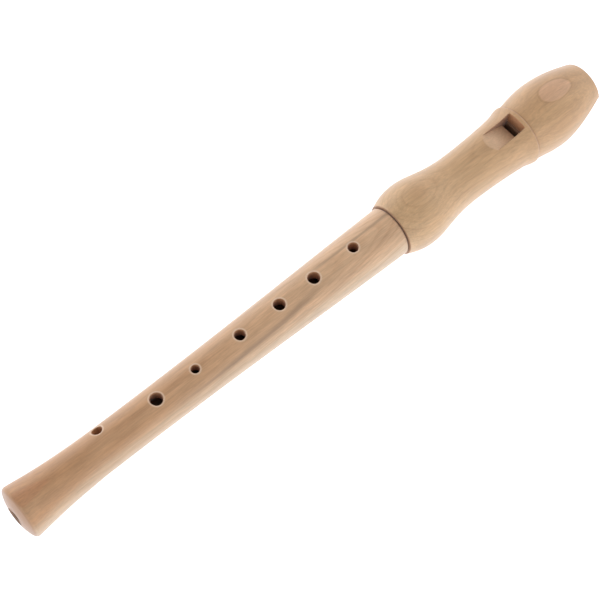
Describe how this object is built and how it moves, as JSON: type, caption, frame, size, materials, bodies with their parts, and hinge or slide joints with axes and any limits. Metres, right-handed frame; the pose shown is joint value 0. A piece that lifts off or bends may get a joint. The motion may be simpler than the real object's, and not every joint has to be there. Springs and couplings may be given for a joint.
{
  "type": "soprano recorder",
  "caption": "Two-piece turned pearwood soprano recorder: head joint with block and window, corked tenon, one-piece lower joint with finger holes.",
  "frame": {"origin": "on the bore's axis where the foot's cylindrical bore begins, 0.6 mm inside its rounded mouth", "axes": "+X along the bore from the foot to the beak, +Z out of the finger-hole and window side, +Y toward the side to which the lowest hole is turned"},
  "size_m": [0.3273, 0.033, 0.0323],
  "materials": {
    "pearwood_lower": "satin",
    "pearwood_head": "satin",
    "cork": "matte",
    "cedar": "matte"
  },
  "bodies": {
    "lower": {"lower_joint": "pearwood_lower"},
    "cork": {"tenon_cork": "cork"},
    "head": {"head_joint": "pearwood_head"},
    "plug": {"block": "cedar"}
  },
  "joints": [
    {"name": "head_turn", "type": "hinge", "parent": "lower", "child": "cork", "pos_m": [0.2056, 0, 0], "axis": [1, 0, 0], "continuous": true},
    {"name": "head_pull", "type": "slide", "parent": "cork", "child": "head", "axis": [1, 0, 0], "range_m": [-0.00025, 0.026]},
    {"name": "block_out", "type": "slide", "parent": "head", "child": "plug", "axis": [1, 0, 0], "range_m": [0, 0.05]}
  ]
}
